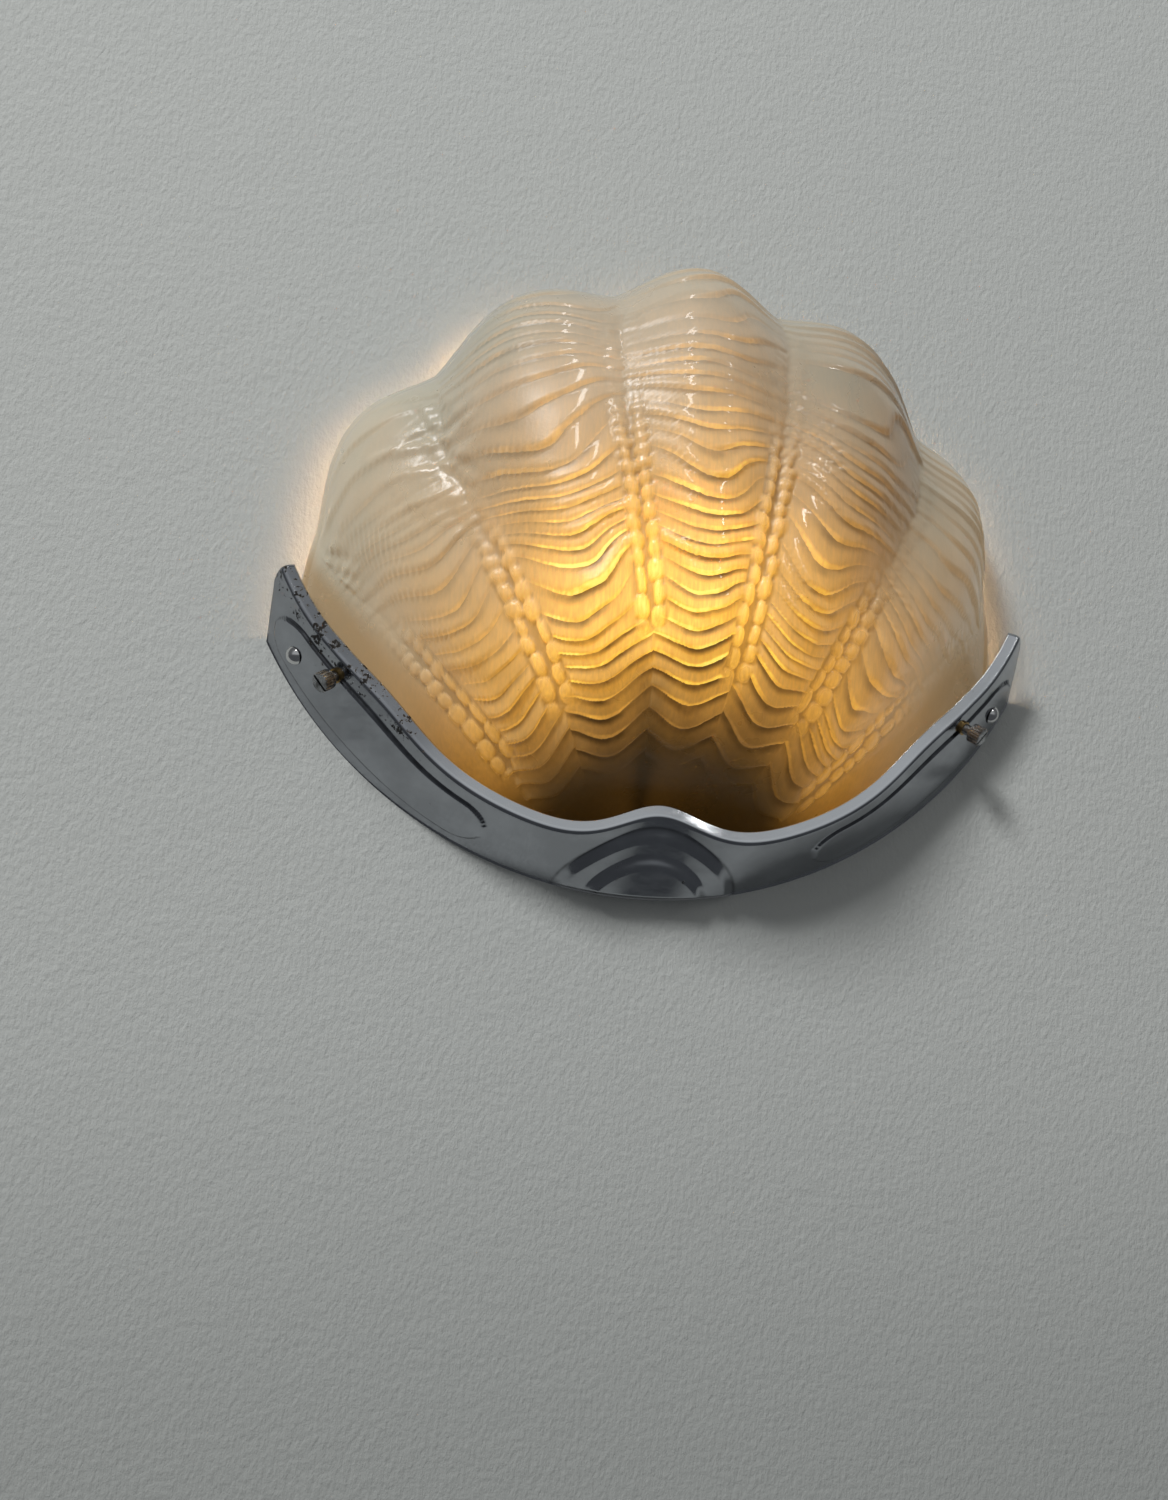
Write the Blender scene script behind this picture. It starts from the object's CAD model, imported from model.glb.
"""Looks of a shell wall light: pressed glass over a lamp, in a chromed cradle on a painted wall."""
import math

import bpy
import numpy as np
from mathutils import Matrix, Vector


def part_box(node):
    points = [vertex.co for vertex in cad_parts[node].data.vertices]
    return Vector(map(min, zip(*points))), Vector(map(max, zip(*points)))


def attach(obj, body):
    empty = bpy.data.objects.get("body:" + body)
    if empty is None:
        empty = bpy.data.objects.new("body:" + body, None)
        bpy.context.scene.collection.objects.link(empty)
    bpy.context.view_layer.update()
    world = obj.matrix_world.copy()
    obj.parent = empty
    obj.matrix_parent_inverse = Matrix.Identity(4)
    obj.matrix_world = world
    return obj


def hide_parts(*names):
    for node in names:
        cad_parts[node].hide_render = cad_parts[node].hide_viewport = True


bl_info = {
    "name": "Shell Wall Light",
    "version": (1, 0, 0),
    "blender": (4, 5, 0),
    "location": "3D View > Sidebar > Wall Light",
    "description": "Dresses the packed shell wall light and sets its stage",
    "category": "Object",
}

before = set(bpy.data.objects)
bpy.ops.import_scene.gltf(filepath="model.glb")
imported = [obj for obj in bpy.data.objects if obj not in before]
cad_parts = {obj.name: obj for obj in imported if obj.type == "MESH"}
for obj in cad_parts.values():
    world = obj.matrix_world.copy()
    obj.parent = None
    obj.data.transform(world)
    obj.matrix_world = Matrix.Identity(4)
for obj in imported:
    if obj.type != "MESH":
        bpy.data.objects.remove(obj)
MM = 0.001
# the four edges of a grid by index, and whether a wall along each is turned round
EDGES = ((np.s_[:, 0], True), (np.s_[:, -1], False), (0, False), (-1, True))


# ------------ mesh helpers
def smooth(x):
    """Smoothstep of x, from 0 at 0 to 1 at 1."""
    x = np.clip(x, 0.0, 1.0)
    return x * x * (3 - 2 * x)


def rise(x, start, length):
    """A smooth rise from 0 to 1, from its start over its length."""
    return smooth((x - start) / length)


def fall(x, end, length):
    """A smooth fall from 1 to 0, over its length to its end."""
    return smooth((end - x) / length)


def even_steps(count, low, high, weight):
    """Count values from low to high, close together where the weight is large: the inverse of
    the running sum of the weight."""
    fine = np.linspace(low, high, 4001)
    total = np.concatenate([[0.0], np.cumsum((weight(fine[1:]) + weight(fine[:-1])) / 2)])
    return np.interp(np.linspace(0, total[-1], count), total, fine)


def hashed(index, seed):
    """A fixed scatter from 0 to 1 for each whole number: the fraction of a large sine."""
    return np.mod(np.sin(np.asarray(index) * 127.1 + seed * 311.7) * 43758.5453, 1.0)


def wander(x, seed):
    """A slow wander between hashed values at whole numbers, blended with smoothstep."""
    low = np.floor(x)
    part = smooth(x - low)
    return hashed(low, seed) * (1 - part) + hashed(low + 1, seed) * part


def bell(x, centre, width):
    """A bell curve of height 1 at its centre."""
    return np.exp(-(((x - centre) / width) ** 2))


def grid_faces(columns, rows, start=0, flip=False):
    """Quads of a grid whose vertices run row by row within each column."""
    index = start + np.arange(columns * rows).reshape(columns, rows)
    quads = np.stack([index[:-1, :-1], index[1:, :-1], index[1:, 1:], index[:-1, 1:]], -1)
    quads = quads.reshape(-1, 4)
    return quads[:, ::-1] if flip else quads


def normals_of(grid):
    """Unit normals of a grid: cross product of its two central differences."""
    across = np.gradient(grid, axis=0)
    along = np.gradient(grid, axis=1)
    normal = np.cross(across, along)
    return normal / np.maximum(np.linalg.norm(normal, axis=-1, keepdims=True), 1e-9)


def both_sides(outer, inner, masks):
    """Points of an outer and an inner grid, and the outer one's masks with zeros for the inner."""
    sides = [side.reshape(-1, 3) for side in (outer, inner)]
    zeros = np.zeros(len(sides[1]))
    masks = {key: np.concatenate([mask.ravel(), zeros]) for key, mask in masks.items()}
    return np.concatenate(sides), masks


def put(name, data):
    """An object in the scene with the given data."""
    item = bpy.data.objects.new(name, data)
    bpy.context.scene.collection.objects.link(item)
    return item


def make_piece(name, points, faces, attributes=None):
    """A mesh object in millimetres brought to metres, smooth shaded, with point attributes."""
    mesh = bpy.data.meshes.new(name)
    mesh.from_pydata((points * MM).tolist(), [], [tuple(face) for face in faces.tolist()])
    mesh.validate(clean_customdata=False)
    for key, values in (attributes or {}).items():
        layer = mesh.attributes.new(key, "FLOAT", "POINT")
        layer.data.foreach_set("value", values.astype(np.float32).ravel())
    mesh.shade_smooth()
    mesh.update()
    return put(name, mesh)


# ------------ node helpers
def feed(tree, node, inputs):
    """Feeds a node: a socket is linked, a value is set, and a colour needs no alpha."""
    for key, value in inputs.items():
        socket = node.inputs[key]
        if isinstance(value, bpy.types.NodeSocket):
            tree.links.new(value, socket)
        elif socket.type == "RGBA" and len(value) == 3:
            socket.default_value = (*value, 1)
        else:
            socket.default_value = value


def add_node(tree, kind, inputs=None, **settings):
    """A shader node of a kind, with its settings and inputs."""
    node = tree.nodes.new("ShaderNode" + kind)
    for key, value in settings.items():
        setattr(node, key, value)
    feed(tree, node, inputs or {})
    return node


def calc(tree, operation, first, second=0.0, clamp=False):
    """One arithmetic node."""
    return add_node(
        tree, "Math", {0: first, 1: second}, operation=operation, use_clamp=clamp
    ).outputs[0]


def times(tree, first, *others):
    """The product of sockets and values."""
    for other in others:
        first = calc(tree, "MULTIPLY", first, other)
    return first


def plus(tree, first, second):
    """The sum of two sockets or values."""
    return calc(tree, "ADD", first, second)


def minus(tree, first, second):
    """One socket or value less another."""
    return calc(tree, "SUBTRACT", first, second)


def mix(tree, factor, first, second, mode="MIX"):
    """One colour mix node; sockets 6 and 7 are its two colours."""
    return add_node(
        tree, "Mix", {0: factor, 6: first, 7: second}, data_type="RGBA", blend_type=mode
    ).outputs[2]


def span(tree, value, low, high, to_low=0.0, to_high=1.0):
    """A clamped change of range, smooth at both ends."""
    inputs = {0: value, 1: low, 2: high, 3: to_low, 4: to_high}
    return add_node(tree, "MapRange", inputs, interpolation_type="SMOOTHSTEP").outputs[0]


def object_place(tree):
    """Object coordinates."""
    return add_node(tree, "TexCoord").outputs["Object"]


def noise(tree, scale, detail=3.0, roughness=0.55, vector=None):
    """Noise on Object coordinates, or on a given vector."""
    vector = object_place(tree) if vector is None else vector
    inputs = {"Vector": vector, "Scale": scale, "Detail": detail, "Roughness": roughness}
    return add_node(tree, "TexNoise", inputs).outputs["Fac"]


def stretched(tree, x, y, z):
    """Object coordinates scaled differently along each axis."""
    inputs = {"Vector": object_place(tree), "Scale": (x, y, z)}
    return add_node(tree, "Mapping", inputs).outputs[0]


def object_height(tree):
    """Height in Object coordinates, in metres."""
    return add_node(tree, "SeparateXYZ", {0: object_place(tree)}).outputs["Z"]


def mask_of(tree, name):
    """A float attribute of the piece."""
    return add_node(tree, "Attribute", attribute_name=name, attribute_type="GEOMETRY").outputs[2]


def bumped(tree, height, distance, strength=1.0):
    """A bump from a height in the range 0 to 1."""
    inputs = {"Height": height, "Distance": distance, "Strength": strength}
    return add_node(tree, "Bump", inputs).outputs[0]


def see_through(tree, shader, share):
    """Makes a material transparent where the share is 1."""
    clear = add_node(tree, "BsdfTransparent").outputs[0]
    both = add_node(tree, "MixShader", {0: share, 1: shader.outputs[0], 2: clear})
    feed(tree, tree.nodes["Material Output"], {"Surface": both.outputs[0]})


def new_material(name):
    """A material with its tree and its Principled shader."""
    material = bpy.data.materials.new(name)
    material.use_nodes = True
    tree = material.node_tree
    return material, tree, tree.nodes["Principled BSDF"]


def wear_group():
    """Handling marks shared by most finishes: a cloudy tarnish mixed into the colour, with the
    roughness and a fine grain height that go with it."""
    group = bpy.data.node_groups.get("handled_surface")
    if group:
        return group
    group = bpy.data.node_groups.new("handled_surface", "ShaderNodeTree")
    for in_out, names in (
        ("INPUT", ("Color", "Worn Color", "Scale", "Amount", "Roughness", "Spread")),
        ("OUTPUT", ("Color", "Roughness", "Height")),
    ):
        for name in names:
            kind = "NodeSocketColor" if "Color" in name else "NodeSocketFloat"
            group.interface.new_socket(name, in_out=in_out, socket_type=kind)
    inside = group.nodes.new("NodeGroupInput").outputs
    clouds = noise(group, inside["Scale"], 4.0, 0.6)
    grain = noise(group, times(group, inside["Scale"], 6.0), 2.0, 0.5)
    worn = times(group, span(group, clouds, 0.42, 0.66), inside["Amount"])
    speck = times(group, span(group, grain, 0.62, 0.72), inside["Amount"])
    shade = calc(group, "MAXIMUM", worn, speck)
    rough = times(group, minus(group, clouds, 0.45), inside["Spread"])
    feed(group, group.nodes.new("NodeGroupOutput"), {
        "Color": mix(group, shade, inside["Color"], inside["Worn Color"]),
        "Roughness": calc(group, "ADD", inside["Roughness"], rough, clamp=True),
        "Height": grain,
    })
    return group


def finish_material(name, colour, worn, scale, amount, rough, spread, bump=0.0, inputs=None):
    """A finish made with the shared handling marks; inputs are plain values of the shader."""
    material, tree, shader = new_material(name)
    marks = add_node(tree, "Group", {
        "Color": colour, "Worn Color": worn, "Scale": scale,
        "Amount": amount, "Roughness": rough, "Spread": spread,
    }, node_tree=wear_group()).outputs
    feed(tree, shader, {"Base Color": marks["Color"], "Roughness": marks["Roughness"]})
    if bump > 0:
        feed(tree, shader, {"Normal": bumped(tree, marks["Height"], bump)})
    feed(tree, shader, inputs or {})
    return material


def need(*names):
    """Raises when the frame lacks a CAD node that a step works on."""
    missing = [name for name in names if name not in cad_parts]
    if missing:
        raise RuntimeError("missing CAD nodes: " + ", ".join(missing))


def dress(material, *nodes):
    """Gives a finish to CAD nodes."""
    need(*nodes)
    for name in nodes:
        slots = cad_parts[name].data.materials
        if len(slots) == 0:
            slots.append(material)
        for index in range(len(slots)):
            slots[index] = material


def dress_all(finishes):
    """Makes finishes and gives each to its CAD nodes."""
    for name, nodes, *finish in finishes:
        dress(finish_material(name, *finish), *nodes)


# ------------ sizes and colours
def number(name, description, default, **limits):
    """A size or a strength in the sidebar."""
    return bpy.props.FloatProperty(name=name, description=description, default=default, **limits)


def tint(name, description, default):
    """A colour in the sidebar."""
    return bpy.props.FloatVectorProperty(
        name=name, description=description, default=default, subtype="COLOR", size=3
    )


class CradleSettings(bpy.types.PropertyGroup):
    """Sizes of the pressed cradle, in millimetres, as in the part's source."""

    mount_height: number("Mount height", "Wall screws over the lowest point", 70.0)
    radius: number("Radius", "Lower edge, seen from the front", 195.0)
    width: number("Width", "Band's plain width", 19.2)
    out: number("Depth", "Bend off the wall", 33.0)
    fall: number("Fall", "Less depth at the tips", 9.0)
    sheet: number("Sheet", "Thickness of the metal", 1.2)
    emboss: number("Emboss", "Height of the panels", 1.0)
    metal: tint("Metal", "Aged chrome", (0.34, 0.355, 0.38))
    pits: number("Pitting", "How far the plating is pitted", 1.0, min=0, max=1)


class GlassSettings(bpy.types.PropertyGroup):
    """Sizes of the glass shell, in millimetres, as in the part's source, and its colours."""

    top: number("Top", "Focus to top edge", 282.5)
    depth: number("Depth", "Crown off the wall", 94.0)
    wall: number("Wall", "Thickness", 4.5)
    lobe: number("Lobes", "Swell of the lobes", 11.3)
    ridge: number("Ridges", "Growth ridges", 2.6)
    bead: number("Beads", "Beads in the valleys", 2.1)
    pearl: tint("Pearl", "Glass at the top", (0.425, 0.41, 0.335))
    body: tint("Body", "Glass lower down", (0.36, 0.26, 0.115))
    amber: tint("Amber", "Margin", (0.26, 0.15, 0.05))
    glow: number("Glow", "Strength of the lamp's light in the glass", 1.0)


class StageSettings(bpy.types.PropertyGroup):
    """Wall, lights and camera."""

    wall: tint("Wall", "Wall paint", (0.445, 0.455, 0.435))
    key: number("Window", "Power in watts", 222.0)
    slot: number("Roof slot", "Power in watts", 2.3)
    lamp: number("Lamp", "Power in watts", 4.0)
    fill: number("Room light", "World strength", 0.19)
    focal: number("Lens", "Focal length in mm", 31.2)


# ------------ shell surface
# millimetres: focus under the lowest point, focus to the shell's foot, back edge off the wall,
# and the gap to the arc of the cradle's lower edge
FOCUS_DROP, HINGE, EDGE, INSET = 19.0, 45.0, 4.0, 11.0
# the corner's fan angle, how much lower it is than the top, and the power of that drop
CORNER, SIDE_DROP, SIDE_POWER = 52.5, 82.6, 2.25
# where along the run the crown is, and the powers that round it
CROWN, TOP_POWER, TOP_ROOT, CROSS_POWER = 0.405, 2.75, 3.9, 1.75
# valleys as fan angles, on both sides, and as columns
VALLEYS = np.array([9.0, 28.0, 44.0])
BOUNDS = np.concatenate([-VALLEYS[::-1], VALLEYS])
VALLEY_COLUMNS = BOUNDS / VALLEYS[2]
# height over the lowest point that the lobes swell from, and the reach of the foot, where the
# valleys draw together
LOBE_CENTRE, FOOT_REACH = 60.0, 35.0
# ridges: their spacing, the spacing beyond a distance from the focus, and how clear by lobe
RIDGE_STEP, FINE_STEP, FINE_FROM = 8.6, 6.4, 168
LOBE_CLEAR = np.array([0.5, 1.0, 1.0, 0.75, 0.55])
# beads: two rows beside each valley, the band they lie in, and start, end and height by valley
BEAD_ROW, BEAD_BAND = 2.9, 6.4
BEAD_START = np.array([0.24, 0.24, 0.30, 0.22, 0.24, 0.20])
BEAD_END = np.array([0.70, 0.66, 0.74, 0.72, 0.62, 0.66])
BEAD_HEIGHT = np.array([0.6, 1, 1, 1, 1, 0.6])
BUBBLE_HEIGHT = 2.4
# the relief is sunk, so that its crests lie near the plain surface
SUNK = 1.7
# steps of the inner surface; the outer one has three for each
INNER_COLUMNS, INNER_ROWS = 82, 112


class Shell:
    """The glass surface of the part's source, as whole arrays."""

    def __init__(self, glass, cradle):
        self.glass = glass
        self.arc_z = cradle.radius - cradle.mount_height
        self.focus_z = -cradle.mount_height - FOCUS_DROP
        self.cradle_radius = cradle.radius
        self.lobe_z = LOBE_CENTRE - cradle.mount_height

    def limit(self, rho, inside):
        """Fan angle where a circle round the focus meets the lower edge: the law of cosines."""
        reach = self.arc_z - self.focus_z
        radius = self.cradle_radius - INSET - inside
        cosine = (rho**2 + reach**2 - radius**2) / (2 * reach * rho)
        return np.degrees(np.arccos(np.clip(cosine, -1, 1)))

    def fan(self, column, v, inside):
        """Distance from the focus, fan angle and its limit. The column is the angle over the last
        valley's up to 1, and crosses the plain edge band from 1 to 2."""
        lobes, beyond = np.minimum(abs(column), 1), np.maximum(0, abs(column) - 1)
        far = VALLEYS[2] * lobes + (CORNER - VALLEYS[2]) * beyond
        top = self.glass.top - SIDE_DROP * (far / CORNER) ** SIDE_POWER
        start = HINGE + inside
        rho = start + v * (top - inside - start)
        limit = self.limit(rho, inside)
        near = np.maximum(0, (HINGE + FOOT_REACH - rho) / FOOT_REACH)
        inner = np.minimum(VALLEYS[2] * (1 - 0.25 * near**2), limit * 0.75**0.5)
        return rho, np.sign(column) * (inner * lobes + (limit - inner) * beyond), limit

    def place(self, column, v, inside=0.0):
        """The crown's profile along v times one less the fan angle's share to a power, with each
        lobe swollen away from a point near the hinge."""
        rho, angle, limit = self.fan(column, v, inside)
        low = 1 - np.clip((CROWN - v) / CROWN, 0, 1) ** 2
        high = np.clip(1 - np.clip((v - CROWN) / (1 - CROWN), 0, 1) ** TOP_POWER, 0, 1)
        profile = np.where(v < CROWN, low, high ** (1 / TOP_ROOT))
        height = profile * (1 - np.clip(abs(angle) / limit, 0, 1) ** CROSS_POWER)
        out = EDGE + (self.glass.depth - inside - EDGE) * height
        a = np.radians(angle)
        point = np.stack([rho * np.sin(a), -out, self.focus_z + rho * np.cos(a)], -1)
        swell = self.glass.lobe * (0.75 if inside else 1.0)
        swell *= np.sin(math.pi * self.lobe_share(column)[1]) ** 1.4
        swell *= (np.clip(v - 0.1, 0, 1) / 0.9) ** 0.7 * (abs(column) <= 1)
        away = point - np.array([0, -EDGE, self.lobe_z])
        away /= np.linalg.norm(away, axis=-1, keepdims=True)
        return point + away * swell[..., None]

    def lobe_share(self, column):
        """Which lobe a column is in, from 0 at the left, and how far across it, 0 to 1."""
        angle = np.clip(column, -0.99999, 0.99999) * VALLEYS[2]
        lobe = np.clip(np.searchsorted(BOUNDS, angle, side="right") - 1, 0, 4)
        return lobe, (angle - BOUNDS[lobe]) / (BOUNDS[lobe + 1] - BOUNDS[lobe])

    def relief(self, column, v):
        """Pressed relief over the plain surface, with the values that the finish reads: growth
        ridges on the lobes, and two rows of beads along every valley."""
        glass = self.glass
        rho, angle, _ = self.fan(column, v, 0.0)
        lobe, share = self.lobe_share(column)
        bow = 1 - (2 * share - 1) ** 2
        middle = (0.5 * bow + 0.5 * np.sin(math.pi * share) ** 2) * (abs(column) < 1)
        # ridges: scale-like steps of the distance from the focus, which sag between the valleys
        wide = VALLEY_COLUMNS[lobe + 1] - VALLEY_COLUMNS[lobe]
        sag = 19.0 * bell(v, 0.46, 0.33) * wide / 0.43
        wave = 3.4 * wander(rho / 29.0 + 2.7 * share, 5 + lobe)
        wave += 1.8 * wander(5 * share + rho / 40, 9)
        wave += 6.0 * wander(rho / 19.0 + 0.6 * share, 14 + lobe)
        wave += 4.0 * np.sin(rho / 11.0 + 2.3 * lobe + 1.4 * share)
        line = rho + sag * middle + wave * rise(v, 0.2, 0.15)
        finer = 1 / FINE_STEP - 1 / RIDGE_STEP
        turn = line / RIDGE_STEP + np.maximum(0, line - FINE_FROM) * finer
        turn += hashed(lobe, 3) * rise(v, 0.28, 0.1) + 0.2 * np.sin(line / 15 + lobe)
        step = turn - np.floor(turn)
        which = np.floor(turn) + 17 * lobe
        scoop = share - 0.5 - 0.42 * (hashed(which, 23) - 0.5)
        scoop = bell(scoop, 0, 0.24 + 0.34 * hashed(which, 24))
        scoop += (1 - scoop) * 0.8 * fall(v, 0.36, 0.08)
        depth = (0.4 + 0.9 * hashed(which, 1)) * (0.12 + 0.95 * scoop)
        saw = smooth(step / 0.15) * (1 - step) ** 0.8
        ends = rise(v, 0.10, 0.09) * fall(v, 1, 0.08)
        low = 1 - 0.45 * rise(v, 0.3, 0.35)
        # beads: rounded cells in two rows beside each valley line
        nearest = np.abs(column[..., None] - VALLEY_COLUMNS).argmin(-1)
        side = rho * np.radians(angle - self.fan(VALLEY_COLUMNS[nearest], v, 0.0)[1])
        row = np.where(side < 0, 0.0, 1.0)
        widen = 1.0 + 0.45 * rise(v, 0.55, 0.4)
        pitch = 8.2 - 1.6 * rise(v, 0.5, 0.4)
        run = rho / pitch + 0.5 * row + 0.7 * wander(rho / 21 + 7 * nearest, 11 + row)
        run += hashed(nearest, 4)
        cell = run - np.floor(run)
        number = np.floor(run) + 31 * nearest + 7 * row
        size = 0.58 + 0.58 * hashed(number, 6)
        shift = 0.5 * (hashed(number, 12) - 0.5)
        lateral = (abs(side) / (BEAD_ROW * widen) - 1 - shift) / size
        ball = np.sqrt(np.clip(1 - abs(lateral) ** 2.4 - (abs(cell - 0.5) / 0.53) ** 2.4, 0, 1))
        band = smooth((BEAD_BAND * widen - abs(side)) / 1.6)
        band *= smooth((v - BEAD_START[nearest]) / 0.05)
        band *= 0.12 + 0.88 * smooth((BEAD_END[nearest] - v) / 0.14)
        band *= fall(v, 0.97, 0.12)
        band *= fall(abs(column), 1.3, 0.1)
        plain = rise(abs(column), 1.02, 0.14)
        # the bubbly patches at the top of the two left valleys
        patch = smooth(1.2 - np.hypot((column + 0.66) / 0.15, (v - 0.80) / 0.17))
        patch += smooth(1.2 - np.hypot((column + 0.98) / 0.08, (v - 0.88) / 0.10))
        bubble = wander(rho / 3.6, 21) * wander(side / 3.4 + 50 + 0.5 * np.floor(rho / 3.6), 22)
        ridge = glass.ridge * depth * low * ends * saw * (1 - plain) * (1 - band)
        height = ridge + glass.bead * BEAD_HEIGHT[nearest] * ball * band
        height += BUBBLE_HEIGHT * patch * bubble
        clear = LOBE_CLEAR[lobe] * scoop
        masks = {
            "turn": turn,
            "lines": clear * ends * (1 - plain) * (1 - band) * (1 - 0.8 * np.clip(patch, 0, 1)),
            "bead": np.clip(ball * band + patch * bubble, 0, 1),
            "gap": np.clip(band * (1 - smooth(ball / 0.55)), 0, 1),
            "margin": rise(abs(column), 1.03, 0.3),
            "up": v,
            "side": rise(abs(column), 0.5, 0.4) * rise(v, 0.34, 0.3),
        }
        return height, masks

    def lamp_light(self, column, v):
        """Light of the lamp in the wall: two bells across, the narrow one left of the middle; a
        quick rise over the hinge and a slow fall to the top; and the holder's shadow low down."""
        across = 0.56 * bell(column, 0, 1.75) + 0.50 * bell(column, -0.18, 0.42)
        foot = 0.05 + 0.95 * rise(v, 0.12, 0.22)
        top = 1 / (1 + (np.maximum(0, v - 0.38) / 0.205) ** 2)
        shade = 0.6 * bell(column, -0.2, 0.10) * fall(v, 0.31, 0.08)
        return across * foot * top * (1 - shade)


def shell_columns(count):
    """Columns of the shell, closest together on the beaded valleys."""

    def weight(c):
        near = bell(c[:, None], VALLEY_COLUMNS, 0.045).sum(-1)
        return 0.75 + 1.3 * near - 0.45 * (abs(c) > 1.15)

    return even_steps(count, -2.0, 2.0, weight)


def shell_rows(count):
    """Rows of the shell, closest together where the top turns back to the wall."""
    spread = np.linspace(0, 1, count)
    below, above = 0.42, 0.58
    turn = np.clip((spread - below) / above, 0, 1) ** 1.35
    back = np.clip(1 - np.cos(math.pi / 2 * turn) ** TOP_ROOT, 0, 1) ** (1 / TOP_POWER)
    return np.where(spread < below, spread / below * CROWN, CROWN + (1 - CROWN) * back)


def rim_faces(outer, inner, flip):
    """Joins a fine edge to one with a third of its steps: one quad and two triangles a step."""
    faces = []
    a, b = inner[:-1], inner[1:]
    f0, f1, f2, f3 = outer[:-1:3], outer[1::3], outer[2::3], outer[3::3]
    for group in ((a, f0, f1), (a, f1, f2), (a, f2, b), (b, f2, f3)):
        triangle = np.stack(group, -1)
        faces.append(triangle[:, ::-1] if flip else triangle)
    return np.concatenate(faces)


def glow_colour(tree, amount):
    """Colour of the lamp's light in the glass, from dark amber to yellow by its strength."""
    ramp = add_node(tree, "ValToRGB", {"Fac": amount})
    stops = ramp.color_ramp.elements
    stops[1].color = (1.0, 0.85, 0.16, 1)
    for position, colour in (
        (0.15, (0.20, 0.090, 0.014)),
        (0.40, (0.55, 0.26, 0.030)),
        (0.60, (0.83, 0.43, 0.045)),
        (0.80, (0.98, 0.64, 0.075)),
    ):
        stops.new(position).color = (*colour, 1)
    return ramp.outputs[0]


def shell_glass_material(glass):
    """Satin pressed glass, lit from inside. The fraction of the attribute turn runs over each
    growth ridge: a bright arc on its lower edge, its body, then the shade under the next one."""
    material, tree, shader = new_material("satin_shell_glass")
    light, turn, lines, bead, gap, margin, up, side = (
        mask_of(tree, name)
        for name in ("lamp_light", "turn", "lines", "bead", "gap", "margin", "up", "side")
    )
    cloud = noise(tree, 26.0, 4.0, 0.6)
    broad = noise(tree, 34.0, 3.0, 0.6)
    hairs = noise(tree, 1.0, 3.0, 0.6, stretched(tree, 900, 500, 110))
    facing = add_node(tree, "LayerWeight", {"Blend": 0.3}).outputs["Facing"]
    # each ridge: its fraction, the shade under the next one, and the bright arc
    fray = times(tree, minus(tree, noise(tree, 150.0, 3.0, 0.6), 0.5), 0.16)
    step = calc(tree, "FRACT", plus(tree, turn, fray))
    low = span(tree, up, 0.78, 0.36, 0.2, 1.0)
    firm = times(tree, low, lines, span(tree, broad, 0.36, 0.56, 0.35, 1.0))
    under = times(tree, span(tree, step, 0.56, 0.93), firm)
    thick = times(tree, lines, broad, 0.34)
    arc = times(tree, span(tree, minus(tree, step, thick), 0.13, 0.0), lines)
    dark = calc(tree, "MAXIMUM", under, times(tree, gap, 0.38))
    # colour: amber body to pearly top, clouds, a grey veil high up, a pale rim, an amber margin
    veil = span(tree, noise(tree, 17.0, 3.0, 0.55), 0.42, 0.66)
    rim = span(tree, facing, 0.38, 0.72)
    body = mix(tree, span(tree, up, 0.38, 0.88), glass.body, glass.pearl)
    for share, colour in (
        (span(tree, cloud, 0.35, 0.75, 0.0, 0.30), (0.52, 0.46, 0.35)),
        (times(tree, veil, span(tree, up, 0.5, 0.9, 0.1, 0.8)), (0.36, 0.385, 0.325)),
        (times(tree, rim, span(tree, up, 0.3, 0.6, 0.2, 0.75)), (0.37, 0.385, 0.32)),
        (times(tree, margin, 0.7), glass.amber),
    ):
        body = mix(tree, share, body, colour)
    depth = span(tree, up, 0.04, 0.34, 0.16, 1.0)
    depth = times(tree, depth, minus(tree, 1.0, times(tree, dark, 0.8)))
    grey = add_node(tree, "CombineColor", {0: depth, 1: depth, 2: depth}).outputs[0]
    # lamp light: body of the ridge, bright arc, dark shade; then its colour by strength
    inside = times(tree, minus(tree, 1.0, step), times(tree, lines, 0.22))
    level = plus(tree, plus(tree, 0.70, inside), times(tree, bead, 0.30))
    level = times(tree, level, minus(tree, 1.0, times(tree, dark, 0.85)))
    gleam = times(tree, arc, span(tree, noise(tree, 45.0, 2.0), 0.38, 0.62, 0.05, 0.85))
    level = times(
        tree,
        plus(tree, level, gleam),
        span(tree, hairs, 0.3, 0.7, 0.86, 1.12),
        span(tree, cloud, 0.25, 0.8, 0.85, 1.12),
        light,
        0.82,
    )
    edge = span(tree, facing, 0.86, 0.99, 0.0, 0.5)
    glow = mix(tree, edge, glow_colour(tree, level), (0.50, 0.30, 0.18), "ADD")
    fine = noise(tree, 900.0, 2.0, 0.5)
    feed(tree, shader, {
        "Base Color": mix(tree, 1.0, body, grey, "MULTIPLY"),
        "Roughness": minus(tree, span(tree, cloud, 0.3, 0.7, 0.26, 0.38), times(tree, bead, 0.1)),
        "IOR": 1.5,
        "Specular IOR Level": span(tree, up, 0.1, 0.4, 0.1, 0.5),
        "Transmission Weight": 0.3,
        "Coat Weight": span(tree, up, 0.12, 0.5, 0.04, 0.8),
        "Coat Roughness": 0.045,
        "Emission Color": mix(tree, side, glow, (0.13, 0.097, 0.056), "ADD"),
        "Emission Strength": glass.glow,
        "Normal": bumped(tree, plus(tree, fine, hairs), 0.00010, 0.5),
    })
    return material


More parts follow.
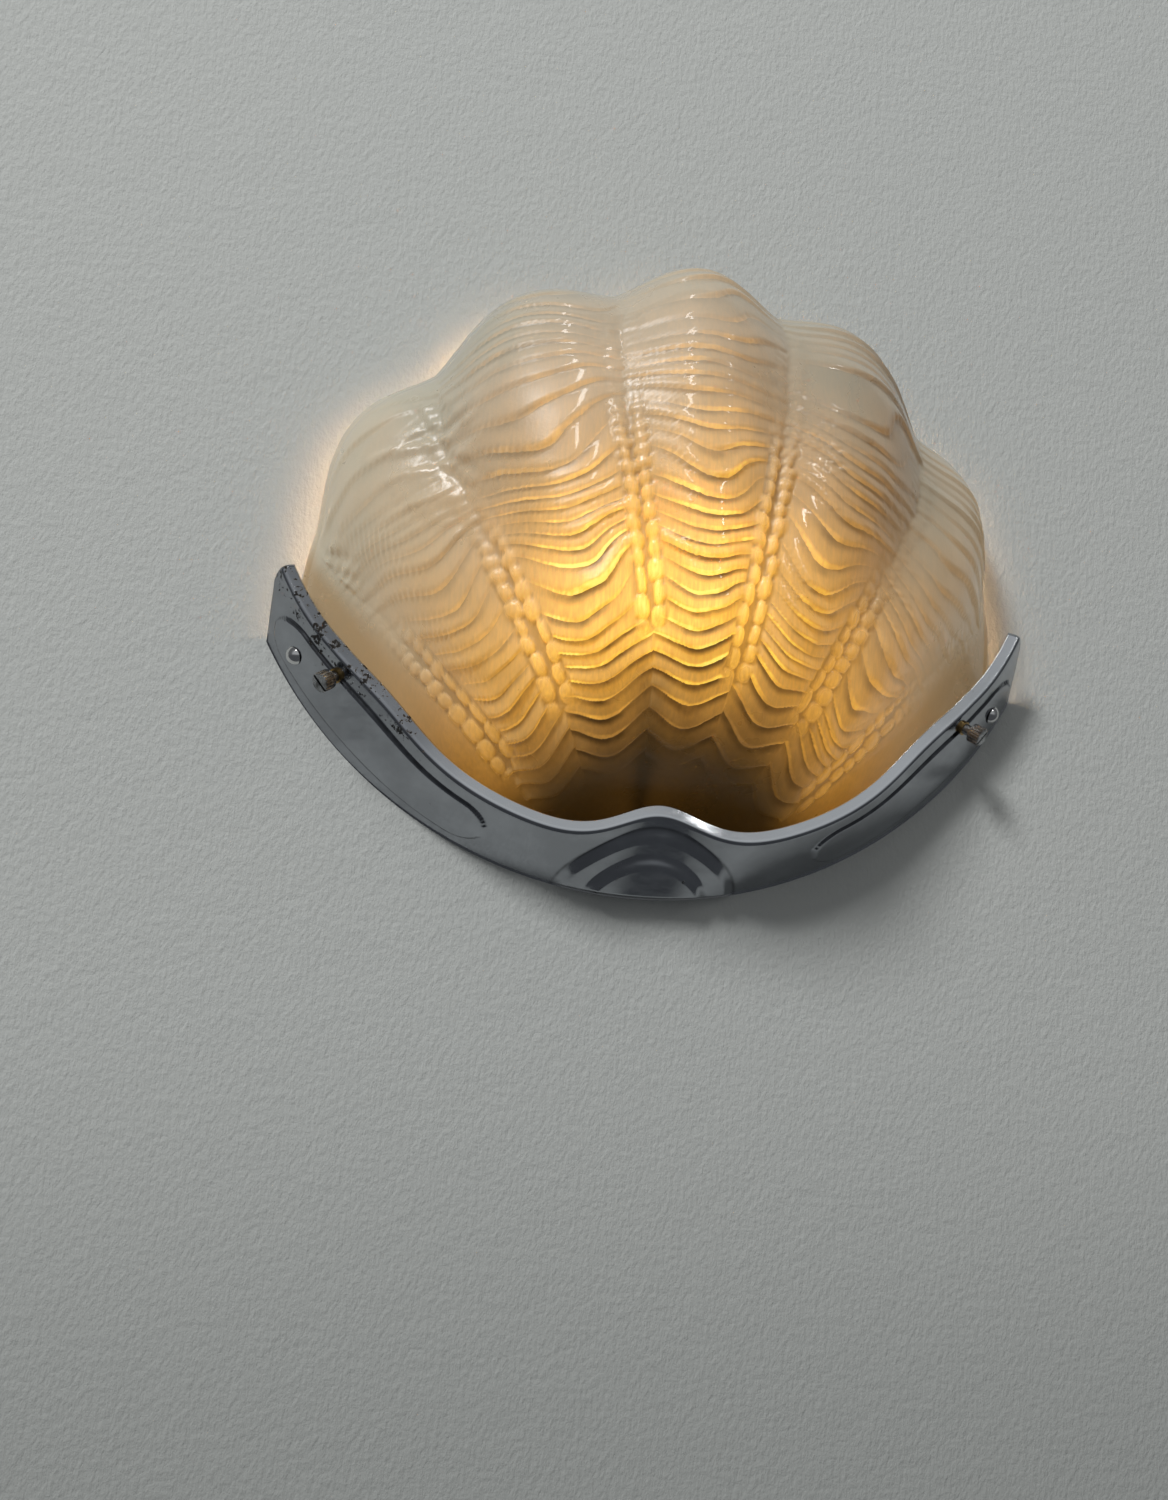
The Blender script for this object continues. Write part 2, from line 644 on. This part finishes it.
class SCONCE_OT_glass(bpy.types.Operator):
    """Make the pressed glass shell with its ridges and beads"""

    bl_idname = "sconce.glass"
    bl_label = "Glass shell"

    def execute(self, context):
        """Outer and inner surface as grids, joined along the ground back edge."""
        need("glass_shade")
        settings = context.scene.sconce_glass
        shell = Shell(settings, context.scene.sconce_cradle)
        columns, rows = 3 * INNER_COLUMNS + 1, 3 * INNER_ROWS + 1
        c, v = np.meshgrid(shell_columns(columns), shell_rows(rows), indexing="ij")
        plain = shell.place(c, v)
        height, masks = shell.relief(c, v)
        fade = smooth(np.minimum(np.minimum(v, 1 - v) * 60, (2 - abs(c)) * 12))
        outer = plain + normals_of(plain) * ((height - SUNK) * fade)[..., None]
        outer[..., 1] = np.clip(outer[..., 1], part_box("glass_shade")[0][1] / MM, -EDGE)
        inner = shell.place(c[::3, ::3], v[::3, ::3], settings.wall)
        start = columns * rows
        outer_index = np.arange(start).reshape(columns, rows)
        inner_index = start + np.arange(inner[..., 0].size).reshape(inner.shape[:2])
        quads = np.concatenate([
            grid_faces(columns, rows),
            grid_faces(*inner.shape[:2], start=start, flip=True),
        ])
        faces = np.concatenate([
            quads[:, [0, 1, 2]],
            quads[:, [0, 2, 3]],
            *(rim_faces(outer_index[edge], inner_index[edge], not flip) for edge, flip in EDGES),
        ])
        light = masks["lamp_light"] = shell.lamp_light(c, v)
        points, attributes = both_sides(outer, inner, masks)
        attributes["lamp_light"][start:] = light[::3, ::3].ravel()
        piece = make_piece("shell_glass", points, faces, attributes)
        piece.data.materials.append(shell_glass_material(settings))
        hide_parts("glass_shade")
        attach(piece, "mount")
        return {"FINISHED"}


# ------------ cradle surface
# millimetres: the lip's rise and its lean back from the bend, and the bend's radius
LIP_RISE, LIP_BACK, BEND = 5.6, 1.4, 2.2
# degrees: the tips, for the fall of the bend, and the half sweep of the columns between them
TIP_ANGLE, HALF_SWEEP = 67.0, 66.5
# steps of the boss: height, radius and width of each, in millimetres
BOSS_STEPS = ((3.0, 42.0, 6.5), (3.2, 29.0, 6.0))
# cut of the wing's end, in millimetres over the lowest point: its slanting side with the side's
# normal, its top edge with the slope, and its rounded corner
WING_SIDE, SIDE_NORMAL = (168.6, 119.0), (29.0, 3.4)
WING_TOP, TOP_SLOPE = (159.0, 130.5), 0.184
WING_CORNER, CORNER_RADIUS = (158.9, 120.6), 9.85
# wing panels: first and last angle and rounded end in degrees, half width and middle in shares
PANEL_FROM, PANEL_TO, PANEL_END, PANEL_HALF, PANEL_MIDDLE = 23.0, 62.5, 4.5, 0.345, 0.495
# share of the band's run that is its foot on the wall, and the columns of the whole band
FOOT, BAND_COLUMNS = 0.03, 441


class Cradle:
    """The pressed band of the part's source, as whole arrays."""

    def __init__(self, settings):
        self.s = settings
        self.arc_z = settings.radius - settings.mount_height

    def width(self, angle):
        """Band width: plain width, plus a bell over the boss, plus a bell on each wing, less the
        flare of the tips."""
        side = abs(angle)
        width = self.s.width + 14.5 * bell(side, 0, 8.5)
        width += 5.5 * bell(side, 45.0, 11.0)
        return width - 2.2 * np.maximum(0, (side - 55.0) / 12.0)

    def out(self, angle):
        """Distance of the bend from the wall: less towards the tips, by the angle squared."""
        return self.s.out - self.s.fall * (angle / TIP_ANGLE) ** 2

    def space(self, angle, radial, out):
        """A point of the radial plane at an angle, in the part's frame."""
        a = np.radians(angle)
        return np.stack([radial * np.sin(a), -out, self.arc_z - radial * np.cos(a)], -1)

    def section(self, angle, run):
        """Radial section: run 0 to 1 is the band, 1 to 2 the bend's arc, 2 to 3 the lip."""
        w, p = self.width(angle), self.out(angle)
        length = np.hypot(w, p)
        radial, front = p / length, w / length
        lip = math.hypot(LIP_RISE, LIP_BACK)
        lx, ly = -LIP_BACK / lip, LIP_RISE / lip
        rx, ry = self.s.radius - w, p
        cosine = np.clip((w * LIP_RISE - p * LIP_BACK) / (length * lip), -1, 1)
        reach = BEND / np.tan((math.pi - np.arccos(cosine)) / 2)
        ax, ay = rx + w / length * reach, ry - p / length * reach
        cx, cy = ax - radial * BEND, ay - front * BEND
        first, last = np.arctan2(front, radial), math.atan2(ly, lx)
        t = np.clip(run - 1, 0, 1)
        turn = first + (last - first) * t
        arc_x, arc_y = cx + BEND * np.cos(turn), cy + BEND * np.sin(turn)
        bx, by = cx + BEND * lx, cy + BEND * ly
        k = np.clip(run, 0, 1)
        g = np.clip(run - 2, 0, 1)
        x = np.where(run < 1, self.s.radius + (ax - self.s.radius) * k, arc_x)
        y = np.where(run < 1, ay * k, arc_y)
        x = np.where(run > 2, bx + (rx - LIP_RISE - bx) * g, x)
        y = np.where(run > 2, by + (ry - LIP_BACK - by) * g, y)
        return x, y, radial, front, length - reach

    def tip_angle(self, run):
        """Where each line of the band meets the cut of the wing's end: bisection on the angle."""
        low, high = np.full_like(run, 50.0), np.full_like(run, 72.0)
        for _ in range(30):
            angle = (low + high) / 2
            x, y = self.section(angle, run)[:2]
            point = self.space(angle, x, y)
            px, pz = point[..., 0], point[..., 2] + self.s.mount_height
            side = (px - WING_SIDE[0]) * SIDE_NORMAL[0] + (pz - WING_SIDE[1]) * SIDE_NORMAL[1]
            top = (pz - WING_TOP[1]) + (px - WING_TOP[0]) * TOP_SLOPE
            dx, dz = px - WING_CORNER[0], pz - WING_CORNER[1]
            corner = np.where((dx > 0) & (dz > 0), np.hypot(dx, dz) - CORNER_RADIUS, -1.0)
            beyond = (side > 0) | (top > 0) | (corner > 0)
            low, high = np.where(beyond, low, angle), np.where(beyond, angle, high)
        return low

    def boss_height(self, r):
        """Height of the stepped boss over the distance from the middle of the lower edge."""
        return sum(high * fall(r, radius, width) for high, radius, width in BOSS_STEPS)

    def surface(self, count, runs):
        """Outer surface: the section swept round the arc, with the panels raised along the normal
        and the boss raised over its own flat plane."""
        steps = even_steps(count, -1, 1, lambda q: 1 + 1.4 * (abs(q) < 0.22))
        q, run = np.meshgrid(steps, runs, indexing="ij")
        tip = self.tip_angle(run)
        blend = rise(abs(q), 0.75, 0.25)
        angle = q * (HALF_SWEEP * (1 - blend) + tip * blend)
        x, y, radial, front, straight = self.section(angle, run)
        share = np.clip(run, 0, 1)
        near = np.minimum(abs(angle) - PANEL_FROM, PANEL_TO - abs(angle))
        near = np.clip(near / PANEL_END, 0, 1)
        half = PANEL_HALF * np.sqrt(1 - (1 - near) ** 2)
        inside = (half - abs(share - PANEL_MIDDLE)) * np.hypot(self.width(angle), self.out(angle))
        panel = smooth(inside / 1.3) * self.s.emboss * (run < 1) * (near > 0)
        # boss: rings round the middle of the lower edge, cut off flush with the edge's arc
        aside = np.radians(angle) * self.s.radius
        foot = np.zeros_like(angle)
        for _ in range(5):
            foot = self.boss_height(np.hypot(aside, foot)) * radial / front
        slant = foot + share * (straight - foot)
        r = np.hypot(aside, slant)
        lift = (self.boss_height(r) + panel) * (run < 1)
        band_x = self.s.radius - front * slant + radial * lift
        band_y = radial * slant + front * lift
        x, y = np.where(run < 1, band_x, x), np.where(run < 1, band_y, y)
        point = self.space(angle, x, y)
        # wall from the arc of the lower edge out to the foot of the band
        base = self.space(angle, self.s.radius * np.ones_like(angle), np.zeros_like(angle))
        wall = np.clip(run / FOOT, 0, 1)[..., None]
        first = int(np.searchsorted(runs, FOOT))
        point = np.where(wall < 1, base * (1 - wall) + point[:, first:first + 1] * wall, point)
        outline = bell(inside, 0.5, 0.7) * (near > 0) * (run < 1)
        masks = {
            "pit": self.pit_region(angle, run, r, slant),
            "lip": rise(run, 1.5, 0.5) * (1 - 0.8 * rise(-angle, 26.0, 14.0)),
            "outline": outline + 0.7 * bell(r, 41.5, 0.7) * (run < 1),
        }
        return point, masks

    def pit_region(self, angle, run, r, v):
        """Where the plating is pitted: the left wing's bend and lip, and the lower rim of the
        boss's flat."""
        left = rise(-angle, 33.0, 8.0) * rise(run, 0.72, 0.25)
        left += 0.35 * rise(-angle, 45.0, 6.0) * rise(run, 0.35, 0.3)
        boss = 0.9 * bell(r, 23.0, 2.2) * fall(v, 24.0, 6.0) * (run < 1)
        right = 0.25 * rise(angle, 52.0, 6.0) * rise(run, 0.8, 0.2)
        return np.clip(left + boss + right, 0, 1)


def aged_chrome(name, metal, pits=None):
    """Chrome plate gone grey: a light haze, cloudy roughness and, unless pits is None, black pits
    through the plating where the pit attribute allows them."""
    material, tree, shader = new_material(name)
    haze = noise(tree, 38.0, 5.0, 0.62)
    smear = noise(tree, 1.0, 3.0, 0.6, stretched(tree, 90, 30, 260))
    pale = tuple(1.25 * part for part in metal)
    colour = mix(tree, span(tree, haze, 0.35, 0.7), metal, pale)
    rough = span(tree, smear, 0.3, 0.75, 0.09, 0.21)
    if pits is None:
        metallic, normal = 1.0, bumped(tree, haze, 0.0001, 0.4)
    else:
        cells = noise(tree, 520.0, 3.0, 0.7)
        blotch = noise(tree, 120.0, 4.0, 0.7)
        spot = plus(tree, times(tree, cells, 0.55), times(tree, blotch, 0.6))
        level = minus(tree, 0.78, times(tree, mask_of(tree, "pit"), 0.155 * pits))
        pit = span(tree, minus(tree, spot, level), 0.0, 0.02)
        line = times(tree, mask_of(tree, "outline"), span(tree, blotch, 0.3, 0.6, 0.55, 0.95))
        for share, tone in (
            (mask_of(tree, "lip"), (0.88, 0.91, 0.94)),
            (line, (0.05, 0.052, 0.055)),
            (pit, (0.018, 0.016, 0.014)),
        ):
            colour = mix(tree, share, colour, tone)
        rough = plus(tree, rough, times(tree, pit, 0.5))
        metallic = minus(tree, 1.0, times(tree, pit, 0.8))
        normal = bumped(tree, minus(tree, 1.0, pit), 0.0004, 0.8)
    feed(tree, shader, {
        "Base Color": colour, "Roughness": rough, "Metallic": metallic, "Normal": normal
    })
    return material


class SCONCE_OT_cradle(bpy.types.Operator):
    """Make the pressed metal cradle and dress the screws in its wings"""

    bl_idname = "sconce.cradle"
    bl_label = "Cradle"

    def execute(self, context):
        """Outer surface as one grid, inner surface one sheet behind it, closed round the rim."""
        need("cradle")
        settings = context.scene.sconce_cradle
        cradle = Cradle(settings)
        runs = np.concatenate([
            np.linspace(0, FOOT, 6),
            np.linspace(FOOT, 1, 54)[1:],
            np.linspace(1, 2, 9)[1:],
            np.linspace(2, 3, 8)[1:],
        ])
        outer, masks = cradle.surface(BAND_COLUMNS, runs)
        inner = outer - normals_of(outer) * settings.sheet
        inner[..., 1] = np.minimum(inner[..., 1], 0)
        columns, rows = outer.shape[:2]
        start = columns * rows
        a = np.arange(start).reshape(columns, rows)
        b = a + start
        faces = [grid_faces(columns, rows), grid_faces(columns, rows, start=start, flip=True)]
        for edge, flip in EDGES:
            one, two = a[edge], b[edge]
            strip = np.stack([one[:-1], one[1:], two[1:], two[:-1]], -1)
            faces.append(strip[:, ::-1] if flip else strip)
        points, attributes = both_sides(outer, inner, masks)
        piece = make_piece("cradle_pressing", points, np.concatenate(faces), attributes)
        metal = tuple(settings.metal)
        piece.data.materials.append(aged_chrome("aged_chrome_plate", metal, settings.pits))
        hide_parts("cradle")
        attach(piece, "mount")
        dress(aged_chrome("screw_chrome", (0.62, 0.62, 0.62)), "dome_screws")
        dress_all(CLAMP_FINISHES)
        return {"FINISHED"}


# ------------ lamp, holder and wiring
# name, nodes, colour, worn colour, scale and amount of the wear, roughness, its spread, height of
# the grain in metres, plain inputs
METAL = {"Metallic": 1.0}
CLAMP_FINISHES = (
    ("dull_screw_chrome", ("clamp_screw_left", "clamp_screw_right"),
     (0.42, 0.43, 0.44), (0.05, 0.045, 0.04), 300, 0.7, 0.28, 0.3, 0.0002, METAL),
)
LAMP_FINISHES = (
    ("stem_glass", ("lamp_stem",), (0.85, 0.88, 0.88), (0.7, 0.72, 0.7),
     120, 0.3, 0.08, 0.1, 0.0, {"Transmission Weight": 0.8}),
    ("hot_filament", ("lamp_filament",), (0.5, 0.3, 0.15), (0.3, 0.2, 0.1),
     400, 0.4, 0.4, 0.2, 0.0, {"Emission Color": (1.0, 0.6, 0.2), "Emission Strength": 12.0}),
    ("drawn_aluminium", ("lamp_cap",), (0.72, 0.72, 0.71), (0.4, 0.38, 0.35),
     90, 0.5, 0.3, 0.25, 0.00005, METAL),
    ("soft_solder", ("lamp_contacts",), (0.5, 0.5, 0.48), (0.25, 0.24, 0.22),
     500, 0.7, 0.45, 0.3, 0.0002, METAL),
    ("black_cap_glass", ("lamp_cap_glass",), (0.02, 0.02, 0.025), (0.06, 0.05, 0.05),
     200, 0.5, 0.12, 0.15),
)
HOLDER_FINISHES = (
    ("aged_brass", ("holder_cap", "holder_skirt", "entry_nipple", "nipple_locknut",
      "holder_terminals", "pinch_screws", "contact_plungers", "lamp_pins", "clamp_inserts"),
     (0.62, 0.42, 0.16), (0.22, 0.13, 0.05), 70, 0.75, 0.26, 0.3, 0.00006, METAL),
    ("brown_moulding", ("shade_ring",), (0.045, 0.022, 0.014), (0.09, 0.055, 0.035),
     160, 0.5, 0.22, 0.2, 0.00004),
    ("glazed_insulator", ("holder_insulator",), (0.78, 0.75, 0.68), (0.45, 0.38, 0.28),
     110, 0.5, 0.14, 0.2, 0.00003),
    ("painted_plate", ("back_plate",), (0.62, 0.60, 0.54), (0.36, 0.30, 0.22),
     55, 0.5, 0.42, 0.25, 0.0001),
    ("zinc_plated_steel", ("lamp_bracket", "bracket_rivets", "ear_nuts"),
     (0.50, 0.51, 0.50), (0.26, 0.25, 0.22), 130, 0.6, 0.34, 0.3, 0.00006, METAL),
    ("spring_wire", ("plunger_springs",), (0.38, 0.37, 0.36), (0.16, 0.13, 0.1),
     600, 0.5, 0.3, 0.2, 0.0, METAL),
    ("pressed_cork", ("rest_pads",), (0.46, 0.29, 0.15), (0.16, 0.09, 0.045),
     420, 0.9, 0.85, 0.1, 0.0006),
    ("pale_nylon", ("clamp_pad_left", "clamp_pad_right"), (0.70, 0.68, 0.60), (0.45, 0.40, 0.30),
     240, 0.5, 0.5, 0.15, 0.00005),
    ("soft_rubber", ("cable_bush",), (0.022, 0.022, 0.022), (0.07, 0.068, 0.065),
     180, 0.6, 0.7, 0.2, 0.0001),
)
WIRING_FINISHES = (
    ("block_porcelain", ("terminal_block",), (0.80, 0.78, 0.72), (0.5, 0.44, 0.34),
     90, 0.4, 0.16, 0.2, 0.00003),
    ("terminal_brass", ("block_sleeves", "earth_screw", "earth_washer"),
     (0.66, 0.47, 0.19), (0.3, 0.19, 0.08), 160, 0.6, 0.3, 0.25, 0.00005, METAL),
    ("terminal_steel", ("block_screws",), (0.5, 0.5, 0.5), (0.25, 0.22, 0.2),
     300, 0.6, 0.3, 0.3, 0.0, METAL),
    ("brown_sheath", ("lead_live",), (0.14, 0.055, 0.022), (0.26, 0.15, 0.09),
     260, 0.4, 0.42, 0.2, 0.00003),
    ("blue_sheath", ("lead_neutral",), (0.03, 0.08, 0.26), (0.1, 0.16, 0.32),
     260, 0.4, 0.42, 0.2, 0.00003),
)


def pearl_bulb():
    """Pearl lamp glass, brightest round the filament and dim at the neck. It casts no shadow,
    because the lamp's light comes from a point in its middle."""
    material, tree, shader = new_material("lit_pearl_bulb")
    low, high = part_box("lamp_bulb")
    bright = span(tree, object_height(tree), low[2], low[2] + 0.6 * (high[2] - low[2]))
    cloud = noise(tree, 60.0, 2.0, 0.5)
    colour = mix(tree, bright, (0.25, 0.10, 0.02), (1.0, 0.62, 0.22))
    colour = mix(tree, times(tree, cloud, 0.15), colour, (1.0, 0.75, 0.4))
    feed(tree, shader, {
        "Base Color": colour,
        "Roughness": 0.35,
        "Transmission Weight": 0.3,
        "Emission Color": colour,
        "Emission Strength": 3.0,
    })
    see_through(tree, shader, add_node(tree, "LightPath").outputs["Is Shadow Ray"])
    return material


class FinishStep:
    """A step that only dresses CAD nodes."""

    def execute(self, context):
        """The step's finishes."""
        dress_all(self.finishes)
        return {"FINISHED"}


class SCONCE_OT_lamp(bpy.types.Operator):
    """Dress the lamp: bulb, stem, filament, cap and contacts"""

    bl_idname = "sconce.lamp"
    bl_label = "Lamp"

    def execute(self, context):
        """The lit bulb, and the step's finishes."""
        dress(pearl_bulb(), "lamp_bulb")
        dress_all(LAMP_FINISHES)
        return {"FINISHED"}


class SCONCE_OT_holder(FinishStep, bpy.types.Operator):
    """Dress the lampholder, its bracket, the back plate, the pads and the bush"""

    bl_idname = "sconce.holder"
    bl_label = "Holder and plate"
    finishes = HOLDER_FINISHES


class SCONCE_OT_wiring(FinishStep, bpy.types.Operator):
    """Dress the terminal block, the leads and the earth screw"""

    bl_idname = "sconce.wiring"
    bl_label = "Wiring"
    finishes = WIRING_FINISHES


# ------------ stage
# half the side of the wall in metres, and the reach of rays that start on a piece behind it
WALL_HALF, TOUCH = 2.6, 0.004
# the camera's place in metres, and how far it is turned right, up and round, in degrees
CAMERA_PLACE, CAMERA_TURN = (-0.116, -0.566, -0.086), (8.7, 8.0, 3.2)


def wall_paint(colour):
    """Eggshell wall paint with a rolled texture, seen from its front only, so that views from
    behind see the light and not the wall."""
    material, tree, shader = new_material("rolled_wall_paint")
    stipple = noise(tree, 1.0, 4.0, 0.62, stretched(tree, 420, 420, 260))
    broad = noise(tree, 60.0, 3.0, 0.5)
    patch = span(tree, noise(tree, 3.0, 2.0, 0.5), 0.3, 0.7, 0, 0.35)
    low = span(tree, object_height(tree), -0.10, -0.34)
    tone = mix(tree, patch, colour, (0.425, 0.44, 0.425))
    height = plus(tree, times(tree, stipple, 0.9), times(tree, broad, 0.5))
    feed(tree, shader, {
        "Base Color": mix(tree, low, tone, (0.335, 0.345, 0.33)),
        "Roughness": 0.62,
        "Specular IOR Level": 0.25,
        "Normal": bumped(tree, height, 0.0013, 0.6),
    })
    # what lies on the wall is not dark from behind: rays that start on it pass through
    back = add_node(tree, "NewGeometry").outputs["Backfacing"]
    path = add_node(tree, "LightPath").outputs
    touching = calc(tree, "LESS_THAN", path["Ray Length"], TOUCH)
    touching = times(tree, touching, minus(tree, 1.0, path["Is Camera Ray"]))
    see_through(tree, shader, calc(tree, "MAXIMUM", back, touching))
    return material


def add_light(name, place, target, size, power, colour):
    """A soft rectangular lamp that looks at a target."""
    lamp = bpy.data.lights.new(name, "AREA")
    lamp.shape = "RECTANGLE"
    lamp.size, lamp.size_y = size
    lamp.energy = power
    lamp.color = colour
    holder = put(name, lamp)
    holder.location = place
    holder.rotation_euler = (Vector(target) - Vector(place)).to_track_quat("-Z", "Y").to_euler()
    return holder


def add_lamp_light(power):
    """The lamp's own light, from the middle of its bulb."""
    lamp = bpy.data.lights.new("lamp_light", "POINT")
    lamp.energy = power
    lamp.color = (1.0, 0.62, 0.30)
    lamp.shadow_soft_size = 0.02
    holder = put("lamp_light", lamp)
    holder.location = [(low + high) / 2 for low, high in zip(*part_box("lamp_bulb"))]
    holder.visible_transmission = False
    holder.visible_glossy = False


def place_camera(focal):
    """The photograph's camera: below and left of the light, turned right and up, and rolled."""
    yaw, pitch, roll = (math.radians(angle) for angle in CAMERA_TURN)
    flat = math.cos(pitch)
    ahead = Vector((math.sin(yaw) * flat, math.cos(yaw) * flat, math.sin(pitch)))
    right = Vector((math.cos(yaw), -math.sin(yaw), 0))
    up = right.cross(ahead)
    turned_right = right * math.cos(roll) + up * math.sin(roll)
    turned_up = up * math.cos(roll) - right * math.sin(roll)
    camera = bpy.data.cameras.new("photo_camera")
    camera.sensor_fit = "VERTICAL"
    camera.sensor_height = 36.0
    camera.lens = focal
    camera.clip_start = 0.01
    holder = put("photo_camera", camera)
    matrix = Matrix((turned_right, turned_up, -ahead)).transposed().to_4x4()
    matrix.translation = Vector(CAMERA_PLACE)
    holder.matrix_world = matrix
    bpy.context.scene.camera = holder


def light_room(scene, strength):
    """A grey room, darker below, with a bright window side opposite the wall."""
    world = bpy.data.worlds.new("room")
    scene.world = world
    world.use_nodes = True
    tree = world.node_tree
    ray = add_node(tree, "TexCoord").outputs["Generated"]
    parts = add_node(tree, "SeparateXYZ", {0: ray}).outputs
    high = span(tree, parts["Z"], -0.55, 0.35)
    room = mix(tree, high, (0.38, 0.40, 0.43), (0.62, 0.64, 0.66))
    over = span(tree, parts["Z"], -0.30, 0.0)
    front = times(tree, span(tree, parts["Y"], -0.6, -0.92), over)
    feed(tree, tree.nodes["Background"], {
        "Color": mix(tree, front, room, (1.9, 1.95, 2.0)),
        "Strength": strength,
    })


class SCONCE_OT_stage(bpy.types.Operator):
    """Set the wall, the room light, the lamps and the camera"""

    bl_idname = "sconce.stage"
    bl_label = "Stage"

    def execute(self, context):
        """A painted wall behind the light, and a big soft window at the upper left."""
        need("lamp_bulb")
        stage = context.scene.sconce_stage
        corners = np.array([[-1, 0, -1], [1, 0, -1], [1, 0, 1], [-1, 0, 1]]) * WALL_HALF
        wall = make_piece("painted_wall", corners / MM, np.array([[0, 1, 2, 3]]))
        wall.data.materials.append(wall_paint(stage.wall))
        light_room(context.scene, stage.fill)
        white, warm = (0.98, 0.99, 1.0), (1.0, 0.99, 0.97)
        window = add_light("window", (-2.35, -2.6, 3.1), (0, 0, 0.05), (0.9, 1), stage.key, white)
        window.visible_glossy = False
        add_light("roof_slot", (-0.3, -1.1, 1.35), (0, 0, 0.08), (0.07, 1.1), stage.slot, warm)
        add_light(
            "side_slot", (1.0, -1.5, 1.1), (0.05, 0, 0.08), (0.05, 0.5), 0.6 * stage.slot, warm
        )
        add_lamp_light(stage.lamp)
        place_camera(stage.focal)
        context.scene.view_settings.view_transform = "Standard"
        return {"FINISHED"}


class SCONCE_PT_panel(bpy.types.Panel):
    """Steps of the wall light in the sidebar"""

    bl_label = "Wall Light"
    bl_idname = "SCONCE_PT_panel"
    bl_space_type = "VIEW_3D"
    bl_region_type = "UI"
    bl_category = "Wall Light"

    def draw(self, context):
        """One button for each step, then the sizes and colours."""
        for step in STEPS:
            self.layout.operator(step.bl_idname)
        for group in SETTINGS:
            settings = getattr(context.scene, group)
            for name in settings.__annotations__:
                self.layout.prop(settings, name)


STEPS = (
    SCONCE_OT_glass,
    SCONCE_OT_cradle,
    SCONCE_OT_lamp,
    SCONCE_OT_holder,
    SCONCE_OT_wiring,
    SCONCE_OT_stage,
)
SETTINGS = {
    "sconce_glass": GlassSettings,
    "sconce_cradle": CradleSettings,
    "sconce_stage": StageSettings,
}
CLASSES = (*SETTINGS.values(), *STEPS, SCONCE_PT_panel)


def register():
    """Registers the settings, the steps and the panel."""
    for item in CLASSES:
        bpy.utils.register_class(item)
    for name, group in SETTINGS.items():
        setattr(bpy.types.Scene, name, bpy.props.PointerProperty(type=group))


def unregister():
    """Removes what register added."""
    for name in SETTINGS:
        delattr(bpy.types.Scene, name)
    for item in reversed(CLASSES):
        bpy.utils.unregister_class(item)


def main():
    """Runs every step."""
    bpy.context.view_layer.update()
    register()
    bpy.ops.sconce.glass()
    bpy.ops.sconce.cradle()
    bpy.ops.sconce.lamp()
    bpy.ops.sconce.holder()
    bpy.ops.sconce.wiring()
    bpy.ops.sconce.stage()


if __name__ == "__main__":
    main()
